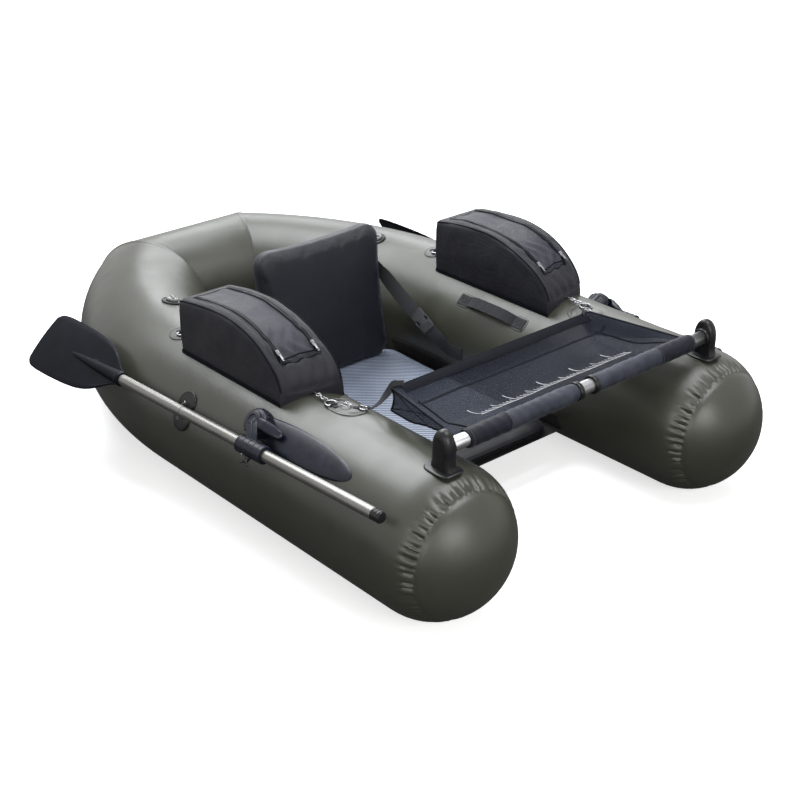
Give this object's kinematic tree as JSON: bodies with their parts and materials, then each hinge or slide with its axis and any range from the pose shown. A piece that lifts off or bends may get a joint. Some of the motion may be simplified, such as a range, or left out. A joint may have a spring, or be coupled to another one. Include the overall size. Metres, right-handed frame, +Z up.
{
  "type": "float tube",
  "caption": "Inflatable U-shaped fishing float tube with seat, backrest, side bags, lap apron on a crossbar and oars stowed along the tubes.",
  "frame": {"origin": "middle of the hull's footprint, on the surface that the tubes rest on", "axes": "+Z up, -Y forward to the open end with the rounded tube noses, -X the sitter's right"},
  "size_m": [1.2792, 1.7146, 0.463],
  "materials": {
    "hull_pvc": "semi-gloss dark olive coated fabric",
    "rear_pvc": "semi-gloss dark olive coated fabric",
    "cap_pvc": "semi-gloss dark olive coated fabric",
    "seat_panel_pvc": "matt dark grey coated fabric",
    "seat_cloth": "ribbed grey-blue woven cloth",
    "backrest_cloth": "dark navy woven cloth",
    "strap_webbing": "woven dark webbing",
    "buckle_plastic": "black moulded plastic",
    "bag_nylon": "black coated nylon",
    "bag_lid_nylon": "dark grey coated nylon",
    "zip_black": "black zip sliders and cord",
    "patch_pvc": "olive glued patch",
    "ring_steel": "bright bent wire",
    "bar_aluminium": "satin anodised tube",
    "holder_rubber": "black moulded rubber",
    "sleeve_cloth": "dark slate cloth sleeve",
    "apron_mesh": "dark open mesh cloth",
    "valve_plastic": "black moulded plastic",
    "valve_cap_plastic": "grey moulded plastic",
    "oarlock_rubber": "navy moulded rubber",
    "yoke_plastic": "navy moulded plastic",
    "blade_plastic": "navy moulded plastic"
  },
  "bodies": {
    "hull": {"rear_tube": "rear_pvc", "seat_panel": "seat_panel_pvc", "seat_cushion": "seat_cloth", "crossbar": "bar_aluminium", "side_tube_right": "hull_pvc", "side_tube_left": "hull_pvc", "nose_cap_right": "cap_pvc", "nose_cap_left": "cap_pvc", "bag_body_right": "bag_nylon", "bag_body_left": "bag_nylon", "front_ring_patch_right": "patch_pvc", "front_ring_patch_left": "patch_pvc", "rear_ring_patch_right": "patch_pvc", "rear_ring_patch_left": "patch_pvc", "bag_ring_front_right": "ring_steel", "bag_ring_front_left": "ring_steel", "apron_ring_right": "ring_steel", "apron_ring_left": "ring_steel", "bag_hook_right": "ring_steel", "bag_hook_left": "ring_steel", "bar_holder_right": "holder_rubber", "bar_holder_left": "holder_rubber", "bar_ring_right": "holder_rubber", "bar_ring_left": "holder_rubber", "carry_handle_right": "strap_webbing", "carry_handle_left": "strap_webbing", "oarlock_base_right": "oarlock_rubber", "oarlock_base_left": "oarlock_rubber", "valve_body_right": "valve_plastic", "valve_body_left": "valve_plastic", "keeper_patch_right": "holder_rubber", "keeper_patch_left": "holder_rubber", "backrest_strap_right": "strap_webbing", "backrest_strap_left": "strap_webbing", "strap_buckle_right": "buckle_plastic", "strap_buckle_left": "buckle_plastic"},
    "backrest": {"backrest_cushion": "backrest_cloth"},
    "apron_cloth": {"apron": "apron_mesh", "apron_sleeve_right": "sleeve_cloth", "apron_sleeve_left": "sleeve_cloth", "apron_strap_right": "strap_webbing", "apron_strap_left": "strap_webbing"},
    "bag_lid_right": {"bag_lid_right": "bag_lid_nylon", "zip_pull_right": "zip_black"},
    "oar_yoke_right": {"oar_yoke_right": "yoke_plastic"},
    "oar_right": {"oar_shaft_right": "bar_aluminium", "oar_blade_right": "blade_plastic", "oar_grip_right": "holder_rubber"},
    "wing_bolt_right": {"wing_bolt_right": "holder_rubber"},
    "valve_cap_right": {"valve_cap_right": "valve_cap_plastic"},
    "bag_ring_rear_right": {"bag_ring_rear_right": "ring_steel"},
    "bag_lid_left": {"bag_lid_left": "bag_lid_nylon", "zip_pull_left": "zip_black"},
    "oar_yoke_left": {"oar_yoke_left": "yoke_plastic"},
    "oar_left": {"oar_shaft_left": "bar_aluminium", "oar_blade_left": "blade_plastic", "oar_grip_left": "holder_rubber"},
    "wing_bolt_left": {"wing_bolt_left": "holder_rubber"},
    "valve_cap_left": {"valve_cap_left": "valve_cap_plastic"},
    "bag_ring_rear_left": {"bag_ring_rear_left": "ring_steel"}
  },
  "joints": [
    {"name": "backrest_fold", "type": "hinge", "parent": "hull", "child": "backrest", "pos_m": [0, 0.09967, 0.10797], "axis": [1, 0, 0], "range_deg": [0, 60], "deforming": ["backrest_strap_right", "backrest_strap_left", "strap_buckle_right", "strap_buckle_left"]},
    {"name": "apron_flip", "type": "hinge", "parent": "hull", "child": "apron_cloth", "pos_m": [0, -0.71733, 0.374], "axis": [1, 0, 0], "range_deg": [0, 100]},
    {"name": "bag_lid_right_open", "type": "hinge", "parent": "hull", "child": "bag_lid_right", "pos_m": [-0.386, 0.05677, 0.44886], "axis": [-1, 0, 0], "range_deg": [0, 75]},
    {"name": "oarlock_swivel_right", "type": "hinge", "parent": "hull", "child": "oar_yoke_right", "pos_m": [-0.52418, -0.28233, 0.31014], "axis": [-0.6691, 0, 0.7431], "range_deg": [0, 60]},
    {"name": "oar_feather_right", "type": "hinge", "parent": "oar_yoke_right", "child": "oar_right", "pos_m": [-0.56091, -0.32733, 0.27165], "axis": [0.0244, -0.9992, 0.0314], "range_deg": [0, 40]},
    {"name": "wing_bolt_right_turn", "type": "hinge", "parent": "oar_yoke_right", "child": "wing_bolt_right", "pos_m": [-0.57562, -0.3281, 0.25842], "axis": [-0.7428, -0.0392, -0.6684], "range_deg": [0, 180]},
    {"name": "valve_cap_right_turn", "type": "hinge", "parent": "hull", "child": "valve_cap_right", "pos_m": [-0.32204, 0.3214, 0.32956], "axis": [0.2325, -0.0654, 0.9704], "range_deg": [0, 120]},
    {"name": "rear_ring_right_swing", "type": "hinge", "parent": "hull", "child": "bag_ring_rear_right", "pos_m": [-0.4152, 0.14355, 0.33295], "axis": [-0.9887, 0.0555, -0.139], "range_deg": [0, 150]},
    {"name": "bag_lid_left_open", "type": "hinge", "parent": "hull", "child": "bag_lid_left", "pos_m": [0.386, 0.05677, 0.44886], "axis": [-1, 0, 0], "range_deg": [0, 75]},
    {"name": "oarlock_swivel_left", "type": "hinge", "parent": "hull", "child": "oar_yoke_left", "pos_m": [0.5525, -0.28233, 0.27841], "axis": [-0.8141, 0, -0.5807], "range_deg": [0, 60]},
    {"name": "oar_feather_left", "type": "hinge", "parent": "oar_yoke_left", "child": "oar_left", "pos_m": [0.58003, -0.32733, 0.23289], "axis": [0.0171, 0.9992, -0.036], "range_deg": [0, 40]},
    {"name": "wing_bolt_left_turn", "type": "hinge", "parent": "oar_yoke_left", "child": "wing_bolt_left", "pos_m": [0.59152, -0.3281, 0.21679], "axis": [0.5805, -0.0392, -0.8133], "range_deg": [0, 180]},
    {"name": "valve_cap_left_turn", "type": "hinge", "parent": "hull", "child": "valve_cap_left", "pos_m": [0.32204, 0.3214, 0.32956], "axis": [-0.2325, -0.0654, 0.9704], "range_deg": [0, 120]},
    {"name": "rear_ring_left_swing", "type": "hinge", "parent": "hull", "child": "bag_ring_rear_left", "pos_m": [0.3681, 0.14166, 0.33295], "axis": [-0.9887, -0.0555, -0.139], "range_deg": [0, 150]}
  ]
}
